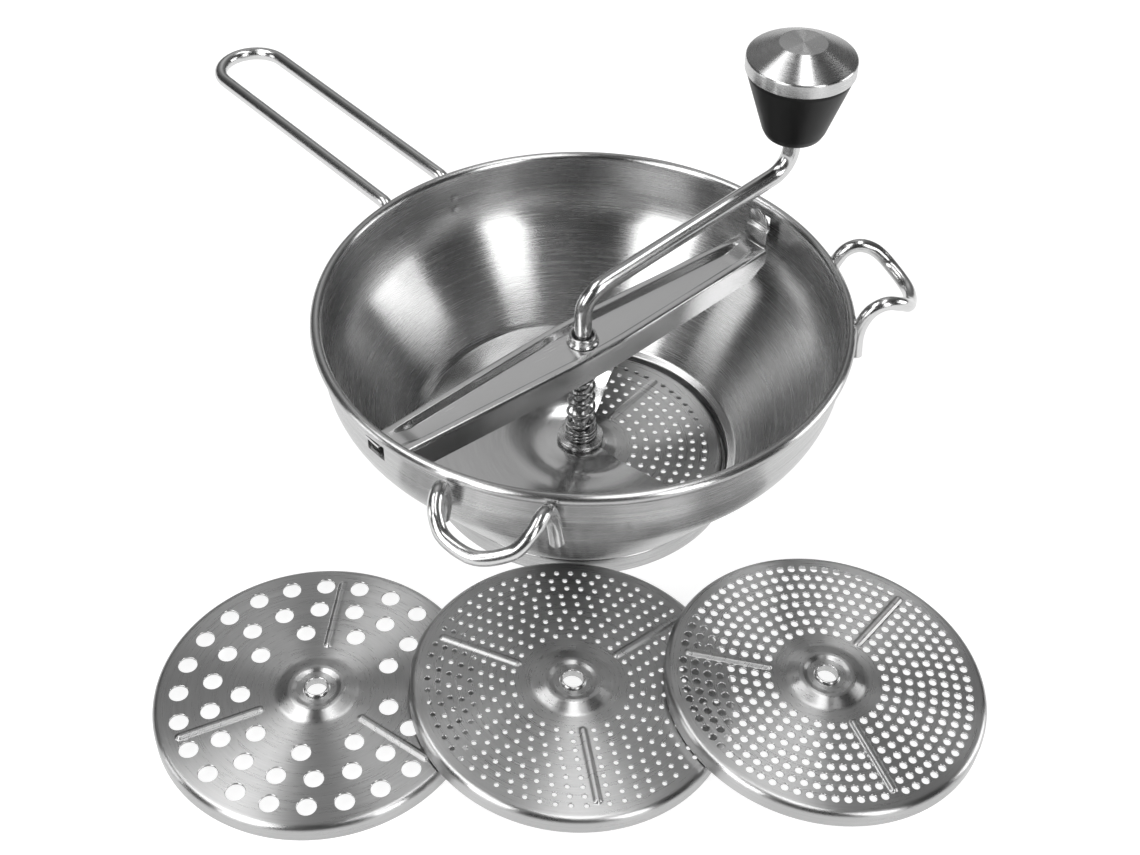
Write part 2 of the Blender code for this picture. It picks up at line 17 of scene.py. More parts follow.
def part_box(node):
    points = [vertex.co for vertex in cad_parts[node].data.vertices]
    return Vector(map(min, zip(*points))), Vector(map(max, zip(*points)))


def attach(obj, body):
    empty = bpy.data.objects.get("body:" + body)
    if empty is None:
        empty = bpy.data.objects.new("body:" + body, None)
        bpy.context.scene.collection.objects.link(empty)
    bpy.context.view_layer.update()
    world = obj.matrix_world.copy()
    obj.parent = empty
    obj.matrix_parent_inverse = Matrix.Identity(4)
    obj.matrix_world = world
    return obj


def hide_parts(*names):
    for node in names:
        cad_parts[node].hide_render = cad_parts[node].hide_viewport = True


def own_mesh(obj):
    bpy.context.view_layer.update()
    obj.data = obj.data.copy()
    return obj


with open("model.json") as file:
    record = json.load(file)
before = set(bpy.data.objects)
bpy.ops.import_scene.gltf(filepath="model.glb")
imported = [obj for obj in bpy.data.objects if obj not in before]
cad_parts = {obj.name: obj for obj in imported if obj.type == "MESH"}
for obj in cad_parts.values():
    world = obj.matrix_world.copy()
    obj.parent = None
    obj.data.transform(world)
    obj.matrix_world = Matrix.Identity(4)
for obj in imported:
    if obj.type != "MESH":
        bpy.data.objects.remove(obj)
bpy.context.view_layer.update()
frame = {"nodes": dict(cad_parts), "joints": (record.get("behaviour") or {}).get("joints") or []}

MM = 0.001

# Bowl, in millimetres.
BOWL_SHEET = 1.2
WELL_RADIUS = 69.8
SEAT_OPENING = 62.0
SEAT_HEIGHT = 3.8
WALL_RADIUS = 115.0
BEAD_RADIUS = 2.5
BEAD_HEIGHT = 94.6
SLOT_LOW = 80.4
CATCH_LOW = 87.0
SLOT_HIGH = 91.6
HINGE_WIDTH = 13.5
CATCH_WIDTH = 7.0
HINGE_AZIMUTH = -135.8
ROW_SPACING = 1.4
STEP_DEGREES = 1.25
FOOT_RADIUS = 72.6
FOOT_TOP = 9.6
WELD_HEIGHTS = (77.0, 84.0)
WELD_DEPTH = 0.28
WELD_REACH = 2.4

# Wires, in millimetres.
LONG_WIRE = 6.5
LONG_AZIMUTH = 132.0
LONG_SIDE = 17.0
LONG_LEVEL = 91.0
LONG_REACH = 281.0
LONG_FOOT = 66.0
HOOK_WIRE = 6.2
HOOK_AZIMUTHS = {"front_hook": -105.3, "side_hook": 9.9}
HOOK_LEG_DEGREES = 11.3
LONG_LEG_DEGREES = 8.2
WIRE_SIDES = 32

# Discs, in millimetres.
DISC_RADIUS = 67.5
DISC_TOP = 7.4
DISC_SHEET = 1.0
PLATE_OUTER = 64.2
PLATE_INNER = 20.5
DOME_TOP = 9.4
BUSH_BORE = 4.3
BUSH_RADIUS = 5.3
BUSH_MIDDLE = 8.0
RIB_AZIMUTHS = (52, 172, 292)
DISC_TURNS = {"fitted_disc": 0.0, "coarse_disc": 33.75, "fine_disc": -11.25, "medium_disc": 0.0}
RIB_START = 24.5
RIB_END = 58.0
RIB_HALF = 1.9
RIB_RISE = 1.0
RIB_COLUMN = 0.35
HOLE_EDGE = 0.18
RIM_STEPS = 144
HUB_STEPS = 72

# Crossbar, in millimetres along its own azimuth.
BAR_END = 108.0
RIDGE_TOP = 79.0
PANEL_TOP = 76.2
BAR_SHEET = 1.2
FLANGE_FOOT = 66.0
BAR_MIDDLE_HALF = 14.0
BAR_END_HALF = 9.25
BAR_HOLE = 5.6
TONGUE_SHIFT = -4.2

# Crank, spring and blade, in millimetres.
ROD = 8.0
ROD_FOOT = 15.3
SPIGOT_FOOT = 12.1
ELBOW_HEIGHT = 101.5
ARM_END_HEIGHT = 126.0
BEND_RADIUS = 13.0
CAP_FOOT = 177.2
KNOB_FOOT = 144.0
KNOB_TOP = 190.5
BLADE_SHEET = 1.0
BLADE_START = -34.0
BLADE_SWEEP = 260.0
BLADE_BORE = 8.2
BLADE_LOW = 12.5
BLADE_HUB_LIFT = 2.4
BLADE_RISE = 16.5
# The blade's outer radius at shares of its sweep, from its low end to its raised one.
BLADE_EDGE = ((0, 66.3), (0.15, 67.6), (0.35, 71.0), (0.6, 74.3), (0.75, 74.0), (0.83, 72.0))
BLADE_EDGE += ((0.88, 67.5), (0.92, 59.0), (0.95, 50.5), (0.975, 43.5), (1.0, 38.0))
SPRING_WIRE = 1.5
SPRING_FOOT = 18.9
SPRING_TOP = 74.1
CLOSED_COILS = 2.6
OPEN_COILS = 7.6


def middle_of(node):
    """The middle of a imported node's box, in metres."""
    low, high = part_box(node)
    return (low + high) / 2


bowl_middle = middle_of("bowl")
mill_place = Matrix.Translation((bowl_middle.x, bowl_middle.y, 0))
knob_middle = middle_of("knob_body")
knob_place = Matrix.Translation((knob_middle.x, knob_middle.y, 0))
knob_from_axis = (knob_middle - bowl_middle).to_2d() / MM
crank_reach = knob_from_axis.length
crank_turn = math.atan2(knob_from_axis.y, knob_from_axis.x)
tilt_axis = next(joint["axis"] for joint in frame["joints"] if joint["name"] == "crossbar_tilt")
bar_turn = math.atan2(tilt_axis[0], -tilt_axis[1])
bar_place = mill_place @ Matrix.Rotation(bar_turn, 4, "Z")


def disc_place(node):
    """A disc's own frame: its origin is the middle of its rim's foot."""
    points = np.array([vertex.co for vertex in frame["nodes"][node].data.vertices])
    directions = np.linalg.svd(points - points.mean(0), full_matrices=False)[2]
    normal = Vector(directions[2])
    if normal.z < 0:
        normal.negate()
    across = Vector((0, 1, 0)).cross(normal).normalized()
    place = Matrix((across, normal.cross(across), normal)).transposed().to_4x4()
    place.translation = middle_of(node + "_bush") - normal * BUSH_MIDDLE * MM
    return place


# Outlines and paths


def blend(value, low, high):
    """0 below low, 1 above high, and a smooth rise between them."""
    part = min(max((value - low) / (high - low), 0.0), 1.0)
    return part * part * (3 - 2 * part)


def polar(radius, degrees, height=0.0):
    angle = math.radians(degrees)
    return Vector((radius * math.cos(angle), radius * math.sin(angle), height))


def filleted(corners, closed=False, segments=6):
    """An outline through (x, y, radius) corners, with each one rounded to its radius."""
    path = []
    count = len(corners)
    for i, (x, y, radius) in enumerate(corners):
        here = Vector((x, y))
        if radius == 0 or (not closed and i in (0, count - 1)):
            path.append(here)
            continue
        back = (Vector(corners[i - 1][:2]) - here).normalized()
        onward = (Vector(corners[(i + 1) % count][:2]) - here).normalized()
        half = back.angle(onward) / 2
        centre = here + (back + onward).normalized() * radius / math.sin(half)
        reach = radius / math.tan(half)
        start = here + back * reach - centre
        end = here + onward * reach - centre
        turn = math.pi - 2 * half
        for k in range(segments + 1):
            share = k / segments
            spoke = start * math.sin((1 - share) * turn) + end * math.sin(share * turn)
            path.append(centre + spoke / math.sin(turn))
    return path


def divided(path, spacing):
    """The same path with no step longer than the spacing."""
    found = [path[0]]
    for start, end in zip(path, path[1:]):
        steps = max(1, math.ceil((end - start).length / spacing))
        found += [start.lerp(end, k / steps) for k in range(1, steps + 1)]
    return found


def offset(path, distance):
    """An open 2-D path moved to its right-hand side."""
    moved = []
    for i, point in enumerate(path):
        before = (point - path[i - 1]).normalized() if i else Vector((0, 0))
        after = (path[i + 1] - point).normalized() if i < len(path) - 1 else Vector((0, 0))
        ahead = (before + after).normalized()
        moved.append(point + Vector((ahead.y, -ahead.x)) * distance)
    return moved


def curved(points, spacing):
    """A smooth curve through the points, divided evenly."""
    path = []
    ends = [points[0] * 2 - points[1]] + list(points) + [points[-1] * 2 - points[-2]]
    for a, b, c, d in zip(ends, ends[1:], ends[2:], ends[3:]):
        steps = max(2, math.ceil((c - b).length / spacing))
        for k in range(steps):
            t = k / steps
            point = b * 2 + (c - a) * t + (a * 2 - b * 5 + c * 4 - d) * t**2
            path.append((point + (b * 3 - a - c * 3 + d) * t**3) / 2)
    return path + [points[-1]]


def rounded(corners, radius, arc_points=14):
    """A 3-D path through corners, with each inner one rounded to the radius."""
    path = [corners[0]]
    for before, corner, after in zip(corners, corners[1:], corners[2:]):
        back = (before - corner).normalized()
        onward = (after - corner).normalized()
        half_turn = (math.pi - back.angle(onward)) / 2
        centre = corner + (back + onward).normalized() * radius / math.cos(half_turn)
        start = (corner + back * radius * math.tan(half_turn) - centre).normalized()
        end = (corner + onward * radius * math.tan(half_turn) - centre).normalized()
        for i in range(arc_points + 1):
            share = i / arc_points
            spoke = start * math.sin((1 - share) * 2 * half_turn) + end * math.sin(share * 2 * half_turn)
            path.append(centre + spoke.normalized() * radius)
    path.append(corners[-1])
    return path


def read_smoothly(place, table):
    """Reads a table of (place, amount) pairs along a smooth curve through them."""
    spots = [spot for spot, amount in table]
    amounts = [amount for spot, amount in table]
    slopes = np.gradient(amounts, spots)
    i = min(max(int(np.searchsorted(spots, place)) - 1, 0), len(spots) - 2)
    width = spots[i + 1] - spots[i]
    t = (place - spots[i]) / width
    start = amounts[i] * (1 + 2 * t) * (1 - t) ** 2 + slopes[i] * width * t * (1 - t) ** 2
    return start + amounts[i + 1] * t * t * (3 - 2 * t) + slopes[i + 1] * width * t * t * (t - 1)


# Objects


def add_piece(name, points, faces, finish, place, sharp=38, uvs=None):
    """A mesh from points in millimetres, smooth except at its sharp edges."""
    mesh = bpy.data.meshes.new(name)
    mesh.from_pydata([tuple(point * MM) for point in points], [], faces)
    if uvs:
        layer = mesh.uv_layers.new(name="UVMap")
        for loop in mesh.loops:
            layer.data[loop.index].uv = uvs[loop.vertex_index]
    bm = bmesh.new()
    bm.from_mesh(mesh)
    bmesh.ops.recalc_face_normals(bm, faces=bm.faces)
    bm.to_mesh(mesh)
    bm.free()
    mesh.shade_smooth()
    mesh.set_sharp_from_angle(angle=math.radians(sharp))
    mesh.materials.append(finish)
    piece = bpy.data.objects.new(name, mesh)
    piece.matrix_world = place
    bpy.context.scene.collection.objects.link(piece)
    return piece


def joined_rows(rows, closed=True):
    """Faces between rows of vertex numbers, each row being a closed ring."""
    faces = []
    for row, after in zip(rows, rows[1:] + rows[:1] if closed else rows[1:]):
        count = len(row)
        for i in range(count):
            j = (i + 1) % count
            corners = tuple(dict.fromkeys((row[i], row[j], after[j], after[i])))
            if len(corners) > 2:
                faces.append(corners)
    return faces


def turned(name, outline, finish, place, steps=96, sharp=38):
    """A closed outline of (radius, height) turned about Z."""
    points, rows = [], []
    for radius, height in outline:
        start = len(points)
        if radius < 1e-6:
            points.append(Vector((0, 0, height)))
            rows.append([start] * steps)
            continue
        points += [polar(radius, 360 * i / steps, height) for i in range(steps)]
        rows.append(list(range(start, start + steps)))
    return add_piece(name, points, joined_rows(rows), finish, place, sharp)


def tube(name, path, radius, finish, place, sides=24, radii=None):
    """A round wire along a path, with slightly chamfered flat ends, unwrapped along its length."""
    radii = radii or [radius] * len(path)
    chamfer = radius * 0.12
    first = (path[1] - path[0]).normalized()
    last = (path[-1] - path[-2]).normalized()
    path = [path[0], path[0] + first * chamfer] + path[1:-1] + [path[-1] - last * chamfer, path[-1]]
    radii = [radii[0] - chamfer, radii[0]] + radii[1:-1] + [radii[-1], radii[-1] - chamfer]
    ahead = first
    side = ahead.orthogonal().normalized()
    points, uvs, rows = [], [], []
    length = 0.0
    for i, (centre, size) in enumerate(zip(path, radii)):
        before = path[max(i - 1, 0)]
        after = path[min(i + 1, len(path) - 1)]
        turn = ahead.rotation_difference((after - before).normalized())
        ahead = (after - before).normalized()
        side = (turn @ side).normalized()
        length += (centre - before).length
        rows.append(list(range(len(points), len(points) + sides)))
        for k in range(sides):
            points.append(centre + Matrix.Rotation(2 * math.pi * k / sides, 3, ahead) @ side * size)
            uvs.append((length * MM, 2 * math.pi * k / sides * radius * MM))
    faces = joined_rows(rows, closed=False) + [tuple(rows[0]), tuple(rows[-1])]
    return add_piece(name, points, faces, finish, place, 50, uvs)


def lofted(name, sections, finish, place, sharp=38):
    """Closed sections joined one after another, with flat ends, unwrapped along their length."""
    points, uvs, rows = [], [], []
    for section in sections:
        rows.append(list(range(len(points), len(points) + len(section))))
        points += section
        around = 0.0
        for i, point in enumerate(section):
            around += (point - section[i - 1]).length if i else 0.0
            uvs.append((point.x * MM, around * MM))
    faces = joined_rows(rows, closed=False) + [tuple(rows[0]), tuple(rows[-1])]
    return add_piece(name, points, faces, finish, place, sharp, uvs)


def cut_hole(piece, radius, low, high):
    """Cuts a round hole about the piece's own axis, for good."""
    outline = [(0, low), (radius, low), (radius, high), (0, high)]
    cutter = turned("hole_cutter", outline, piece.data.materials[0], piece.matrix_world)
    step = piece.modifiers.new("hole", "BOOLEAN")
    step.operation = "DIFFERENCE"
    step.solver = "EXACT"
    step.object = cutter
    bpy.context.view_layer.update()
    seen = piece.evaluated_get(bpy.context.evaluated_depsgraph_get())
    mesh = bpy.data.meshes.new_from_object(seen)
    piece.modifiers.clear()
    piece.data = mesh
    mesh.set_sharp_from_angle(angle=math.radians(38))
    bpy.data.objects.remove(cutter)


def settle(piece, body, slot, *nodes):
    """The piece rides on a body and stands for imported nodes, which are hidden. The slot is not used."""
    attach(piece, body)
    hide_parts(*nodes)
    return piece


# Materials


class Nodes:
    """Adds shader nodes to one material."""

    def __init__(self, name):
        self.material = bpy.data.materials.new(name)
        self.material.use_nodes = True
        self.tree = self.material.node_tree
        self.shader = self.tree.nodes["Principled BSDF"]

    def add(self, kind, settings=None, **inputs):
        node = self.tree.nodes.new(kind)
        for name, value in (settings or {}).items():
            setattr(node, name, value)
        for name, value in inputs.items():
            self.feed(node, int(name[1:]) if name[0] == "_" else name, value)
        return node

    def feed(self, node, name, value):
        socket = node.inputs[name]
        if isinstance(value, bpy.types.NodeSocket):
            self.tree.links.new(value, socket)
        else:
            socket.default_value = value

    def maths(self, operation, first, second=0.0):
        return self.add("ShaderNodeMath", {"operation": operation}, _0=first, _1=second).outputs[0]

    def vector(self, operation, first, second=(0, 0, 0)):
        node = self.add("ShaderNodeVectorMath", {"operation": operation}, _0=first, _1=second)
        return node.outputs["Value" if operation == "LENGTH" else "Vector"]

    def scaled(self, first, scale):
        return self.add("ShaderNodeVectorMath", {"operation": "SCALE"}, _0=first, Scale=scale).outputs[0]

    def noise(self, vector, scale, detail=3.0, roughness=0.55):
        settings = {"Vector": vector, "Scale": scale, "Detail": detail, "Roughness": roughness}
        return self.add("ShaderNodeTexNoise", None, **settings).outputs[0]

    def spread(self, value, low, high, from_low=0.3, from_high=0.7):
        node = self.add("ShaderNodeMapRange", None, _0=value, _1=from_low, _2=from_high, _3=low, _4=high)
        return node.outputs[0]

    def grey(self, value, low, high):
        """A neutral colour between two tones."""
        level = self.spread(value, low, high)
        return self.add("ShaderNodeCombineColor", None, _0=level, _1=level, _2=level).outputs[0]

    def bump(self, height, strength, distance):
        node = self.add("ShaderNodeBump", None, Strength=strength, Distance=distance, Height=height)
        self.feed(self.shader, "Normal", node.outputs[0])

    def set(self, **inputs):
        for name, value in inputs.items():
            self.feed(self.shader, name.replace("_", " "), value)


def round_grain(nodes, around, across, twist=0.0):
    """Noise drawn out round the piece's own Z axis. Twist, in radians a metre, slants it."""
    place = nodes.add("ShaderNodeTexCoord").outputs["Object"]
    parts = nodes.add("ShaderNodeSeparateXYZ", None, _0=place).outputs
    flat = nodes.add("ShaderNodeCombineXYZ", None, _0=parts[0], _1=parts[1]).outputs[0]
    radius = nodes.vector("LENGTH", flat)
    angle = nodes.maths("MULTIPLY", radius, twist)
    slanted = nodes.add("ShaderNodeVectorRotate", {"rotation_type": "Z_AXIS"}, Vector=flat, Angle=angle)
    spoke = nodes.scaled(nodes.vector("NORMALIZE", slanted.outputs[0]), around)
    height = nodes.maths("MULTIPLY", nodes.maths("ADD", radius, parts[2]), across)
    lift = nodes.add("ShaderNodeCombineXYZ", None, _2=height).outputs[0]
    return nodes.noise(nodes.vector("ADD", spoke, lift), 1.0, 4.0, 0.62)


def long_grain(nodes, along, across):
    """Noise drawn out along the piece's unwrapped length."""
    place = nodes.add("ShaderNodeUVMap", {"uv_map": "UVMap"}).outputs[0]
    stretched = nodes.vector("MULTIPLY", place, (along, across, 1.0))
    return nodes.noise(stretched, 1.0, 4.0, 0.62)


def cloudiness(nodes, scale):
    place = nodes.add("ShaderNodeTexCoord").outputs["Object"]
    return nodes.noise(place, scale, 2.0, 0.5)


def round_steel(name, tone, roughness, grain, twist=0.0, lines=0.05, relief=0.25, anisotropy=0.90):
    """Steel that was brushed, spun or turned round its own axis, with its lines' contrast and depth."""
    nodes = Nodes(name)
    fine = round_grain(nodes, 3.6, grain, twist)
    broad = round_grain(nodes, 2.4, grain * 0.32, twist)
    marks = nodes.maths("ADD", nodes.maths("MULTIPLY", fine, 0.6), nodes.maths("MULTIPLY", broad, 0.4))
    tangent = nodes.add("ShaderNodeTangent", {"direction_type": "RADIAL", "axis": "Z"}).outputs[0]
    nodes.set(Base_Color=nodes.grey(marks, tone - lines, tone + lines), Metallic=1.0)
    nodes.set(Roughness=nodes.spread(marks, roughness - 0.04, roughness + 0.04))
    nodes.set(Anisotropic=anisotropy, Anisotropic_Rotation=0.25, Tangent=tangent)
    nodes.bump(fine, relief, 0.00002)
    return nodes.material


def long_steel(name, tone, roughness, anisotropy, grain, lines=0.04):
    """Steel that was drawn or brushed along its length."""
    nodes = Nodes(name)
    fine = long_grain(nodes, 30.0, grain)
    cloud = cloudiness(nodes, 60.0)
    marks = nodes.maths("ADD", nodes.maths("MULTIPLY", fine, 0.65), nodes.maths("MULTIPLY", cloud, 0.35))
    tangent = nodes.add("ShaderNodeTangent", {"direction_type": "UV_MAP", "uv_map": "UVMap"}).outputs[0]
    nodes.set(Base_Color=nodes.grey(marks, tone - lines, tone + lines), Metallic=1.0)
    nodes.set(Roughness=nodes.spread(marks, roughness - 0.04, roughness + 0.04))
    nodes.set(Anisotropic=anisotropy, Anisotropic_Rotation=0.25, Tangent=tangent)
    nodes.bump(fine, 0.25, 0.00002)
    return nodes.material


def moulded_plastic(name):
    """Black plastic with a very fine moulded texture."""
    nodes = Nodes(name)
    place = nodes.add("ShaderNodeTexCoord").outputs["Object"]
    grain = nodes.noise(place, 2600.0, 2.0, 0.6)
    cloud = nodes.noise(place, 90.0, 3.0, 0.5)
    nodes.set(Base_Color=nodes.grey(cloud, 0.004, 0.007), Roughness=nodes.spread(cloud, 0.38, 0.46))
    nodes.set(Specular_IOR_Level=0.22)
    nodes.bump(grain, 0.20, 0.00003)
    return nodes.material


def lit_floor(name):
    """A white table lit from below, so that holes and shadows stay bright."""
    nodes = Nodes(name)
    place = nodes.add("ShaderNodeTexCoord").outputs["Object"]
    cloud = nodes.noise(place, 3.0, 2.0, 0.5)
    nodes.set(Base_Color=nodes.grey(cloud, 0.34, 0.36), Roughness=0.9, Specular_IOR_Level=0.0)
    nodes.set(Emission_Color=(1.0, 1.0, 1.0, 1.0), Emission_Strength=0.84)
    return nodes.material


finishes = {
    "bowl": round_steel(
        "spun_bowl_steel", tone=0.48, roughness=0.26, grain=2100.0, lines=0.10, relief=0.55
    ),
    "disc": round_steel(
        "swirled_disc_steel", tone=0.44, roughness=0.29, grain=2000.0, twist=14.0, relief=0.10
    ),
    "blade": round_steel(
        "pressed_blade_steel", tone=0.58, roughness=0.18, grain=1500.0, twist=5.0, lines=0.04, anisotropy=0.35
    ),
    "turned": round_steel("turned_steel", tone=0.52, roughness=0.27, grain=3000.0),
    "bar": long_steel(
        "brushed_bar_steel", tone=0.57, roughness=0.24, anisotropy=0.60, grain=2400.0, lines=0.03
    ),
    "wire": long_steel("drawn_wire_steel", tone=0.58, roughness=0.22, anisotropy=0.50, grain=1800.0),
    "spring": long_steel("spring_steel", tone=0.38, roughness=0.18, anisotropy=0.20, grain=1500.0),
    "plastic": moulded_plastic("moulded_black_plastic"),
}


# Bowl


def bowl_outline():
    """Up the inner side, over the rolled rim, and down the outer side."""
    corners = [(SEAT_OPENING, SEAT_HEIGHT, 0), (WELL_RADIUS, SEAT_HEIGHT, 0.9), (WELL_RADIUS, 11.3, 0.8)]
    corners += [(73.4, 12.6, 2.5), (WALL_RADIUS, 69.2, 33.0), (WALL_RADIUS, SLOT_LOW, 0)]
    corners += [(WALL_RADIUS, CATCH_LOW, 0), (WALL_RADIUS, SLOT_HIGH, 0)]
    inner = divided(filleted(corners, segments=12), ROW_SPACING)
    bead = []
    for degrees in range(180, -91, -15):
        spoke = polar(BEAD_RADIUS, degrees).to_2d()
        bead.append(Vector((WALL_RADIUS + BEAD_RADIUS, BEAD_HEIGHT)) + spoke)
    return inner + bead + offset(inner, BOWL_SHEET)[::-1]


def slot_edges(azimuth, width):
    half = math.degrees(math.asin(width / 2 / WALL_RADIUS))
    return azimuth - half, azimuth + half


def leg_azimuths():
    """Where the wires' legs are welded to the wall."""
    middles = [(LONG_AZIMUTH, LONG_LEG_DEGREES)]
    middles += [(azimuth, HOOK_LEG_DEGREES) for azimuth in HOOK_AZIMUTHS.values()]
    return [middle + side * half for middle, half in middles for side in (-1, 1)]


def bowl_azimuths(slots):
    """Even steps between the slots' edges, with finer ones at the welds."""
    spots = sorted(edge % 360 for slot in slots for edge in slot_edges(*slot[:2]))
    found = []
    for start, end in zip(spots, spots[1:] + [spots[0] + 360]):
        steps = max(1, round((end - start) / STEP_DEGREES))
        found += [start + (end - start) * k / steps for k in range(steps)]
    for leg in leg_azimuths():
        found += [(leg + 0.21 + 0.42 * k) % 360 for k in range(-5, 5)]
    return sorted(angle % 360 for angle in found)


def weld_dent(azimuth, height):
    """How far a spot weld pulls the wall out of its circle, in millimetres."""
    depth = 0.0
    for leg in leg_azimuths():
        aside = (azimuth - leg + 180) % 360 - 180
        for spot in WELD_HEIGHTS:
            reach = math.hypot(math.radians(aside) * WALL_RADIUS, height - spot)
            depth += WELD_DEPTH * (1 - blend(reach, 0.3, WELD_REACH))
    return depth


def make_bowl():
    slots = ((HINGE_AZIMUTH, HINGE_WIDTH, SLOT_LOW), (math.degrees(bar_turn), CATCH_WIDTH, CATCH_LOW))
    azimuths = bowl_azimuths(slots)
    outline = bowl_outline()
    points, rows = [], []
    for radius, height in outline:
        rows.append(list(range(len(points), len(points) + len(azimuths))))
        for azimuth in azimuths:
            pull = weld_dent(azimuth, height) if radius > WALL_RADIUS - 5 and height < SLOT_HIGH else 0.0
            points.append(polar(radius + pull, azimuth, height))
    count = len(azimuths)
    left_out = set()
    faces = []
    for azimuth, width, bottom in slots:
        low, high = slot_edges(azimuth, width)
        steps = [i for i, angle in enumerate(azimuths) if (angle - low + 1e-6) % 360 < high - low]
        low_rows = [k for k, point in enumerate(outline) if abs(point.y - bottom) < 1e-3]
        high_rows = [k for k, point in enumerate(outline) if abs(point.y - SLOT_HIGH) < 1e-3]
        climb = list(range(low_rows[0], high_rows[0] + 1))
        fall = list(range(low_rows[1], high_rows[1] - 1, -1))
        left_out |= {(k, i) for k in climb[:-1] + fall[1:] for i in steps[:-1]}
        for i, j in zip(steps, steps[1:]):
            for inner, outer in ((low_rows[0], low_rows[1]), (high_rows[0], high_rows[1])):
                faces.append((rows[inner][i], rows[inner][j], rows[outer][j], rows[outer][i]))
        for a, b, c, d in zip(climb, climb[1:], fall, fall[1:]):
            for i in (steps[0], steps[-1]):
                faces.append((rows[a][i], rows[b][i], rows[d][i], rows[c][i]))
    for k, row in enumerate(rows):
        after = rows[(k + 1) % len(rows)]
        for i in range(count):
            if (k, i) not in left_out:
                j = (i + 1) % count
                faces.append((row[i], row[j], after[j], after[i]))
    bowl = add_piece("spun_bowl", points, faces, finishes["bowl"], mill_place)
    return settle(bowl, "mill", "brushed_steel", "bowl")


def make_foot_ring():
    corners = [(69.4, 0, 0.3), (FOOT_RADIUS, 0, 0.8), (FOOT_RADIUS, FOOT_TOP, 0.5)]
    corners += [(71.3, FOOT_TOP, 0.3), (71.3, 2.0, 0.3), (69.4, 2.0, 0.3)]
    ring = turned("foot_band", filleted(corners, True, 3), finishes["bowl"], mill_place, 192)
    return settle(ring, "mill", "brushed_steel", "foot_ring")


# Wires


def make_long_handle():
    leg = math.sqrt((WALL_RADIUS + BOWL_SHEET + 0.3 + LONG_WIRE / 2) ** 2 - LONG_SIDE**2) + 0.1
    straight = LONG_REACH - LONG_SIDE
    foot = Vector((leg, -LONG_SIDE, LONG_FOOT))
    elbow = Vector((leg, -LONG_SIDE, LONG_LEVEL))
    first = rounded([foot, elbow, Vector((straight, -LONG_SIDE, LONG_LEVEL))], 8.0)
    loop = [Vector((straight, 0, LONG_LEVEL)) + polar(LONG_SIDE, angle) for angle in range(-84, 85, 6)]
    second = [Vector((point.x, -point.y, point.z)) for point in reversed(first)]
    place = mill_place @ Matrix.Rotation(math.radians(LONG_AZIMUTH), 4, "Z")
    path = divided(first + loop + second, 6.0)
    handle = tube("long_wire_handle", path, LONG_WIRE / 2, finishes["wire"], place, WIRE_SIDES)
    return settle(handle, "mill", "polished_wire", "long_handle")


def make_hooks():
    """Two short hooks alike, each bent through (side, out, up) points of its half."""
    half = [(24.2, 119.8, 74.0), (22.9, 119.8, 84.0), (22.2, 121.6, 91.5), (21.9, 125.6, 97.6)]
    half += [(21.2, 132.0, 99.9), (19.3, 139.3, 97.3), (13.4, 145.6, 91.8)]
    corners = [(-side, out, up) for side, out, up in half] + [(0, 149.4, 89.0)] + half[::-1]
    path = curved([Vector((out, side, up)) for side, out, up in corners], 1.2)
    for node, azimuth in HOOK_AZIMUTHS.items():
        place = mill_place @ Matrix.Rotation(math.radians(azimuth), 4, "Z")
        hook = tube(node + "_wire", path, HOOK_WIRE / 2, finishes["wire"], place, WIRE_SIDES)
        settle(hook, "mill", "polished_wire", node)


# Discs


def row_of_holes(radius, spacing, margin):
    """Evenly spaced holes on one circle, clear of the ribs."""
    clear = math.degrees(margin / radius)
    count = int((math.radians(120) * radius - 2 * margin) / spacing)
    middles = []
    for rib in RIB_AZIMUTHS:
        for k in range(count + 1):
            middles.append(polar(radius, rib + clear + (120 - 2 * clear) * k / count).to_2d())
    return middles


def fine_pattern(rows, innermost, outermost, spacing, margin):
    holes = []
    for k in range(rows):
        radius = innermost + (outermost - innermost) * k / (rows - 1)
        holes += row_of_holes(radius, spacing, margin)
    return holes


def coarse_pattern():
    holes = []
    for rib in RIB_AZIMUTHS:
        for radius, count in ((57.0, 8), (44.0, 6), (31.5, 3)):
            holes += [polar(radius, rib + 120 * (k + 0.5) / count).to_2d() for k in range(count)]
    return holes


def rib_height(x, y):
    """Rise of the pressed ribs over the plate."""
    rise = 0.0
    for azimuth in RIB_AZIMUTHS:
        angle = math.radians(azimuth)
        along = x * math.cos(angle) + y * math.sin(angle)
        aside = y * math.cos(angle) - x * math.sin(angle)
        past = max(RIB_START - along, along - RIB_END, 0.0)
        rise = max(rise, RIB_RISE * (1 - blend(math.hypot(past, aside), RIB_HALF * 0.35, RIB_HALF)))
    return rise


def rib_points():
    """Points that carry the ribs' shape on the plate."""
    found = []
    ends = [RIB_START - 2.4 + 0.4 * k for k in range(9)] + [RIB_END - 0.8 + 0.4 * k for k in range(9)]
    stations = sorted(ends + [RIB_START + 2.0 + 2.2 * k for k in range(14)])
    for azimuth in RIB_AZIMUTHS:
        turn = Matrix.Rotation(math.radians(azimuth), 2)
        for along in stations:
            for k in range(-7, 8):
                found.append(turn @ Vector((along, k * RIB_COLUMN)))
    return found


def plate_loops(holes, radius, sides):
    """2-D points, edges and rings of the flat plate: its rim, its hub and its holes."""
    points, edges, rings = [], [], []
    circles = [(Vector((0, 0)), PLATE_OUTER, RIM_STEPS), (Vector((0, 0)), PLATE_INNER, HUB_STEPS)]
    circles += [(hole, radius + HOLE_EDGE, sides) for hole in holes]
    for centre, reach, steps in circles:
        ring = list(range(len(points), len(points) + steps))
        points += [centre + polar(reach, 360 * k / steps).to_2d() for k in range(steps)]
        edges += list(zip(ring, ring[1:] + ring[:1]))
        rings.append(ring)
    return points + rib_points(), edges, rings


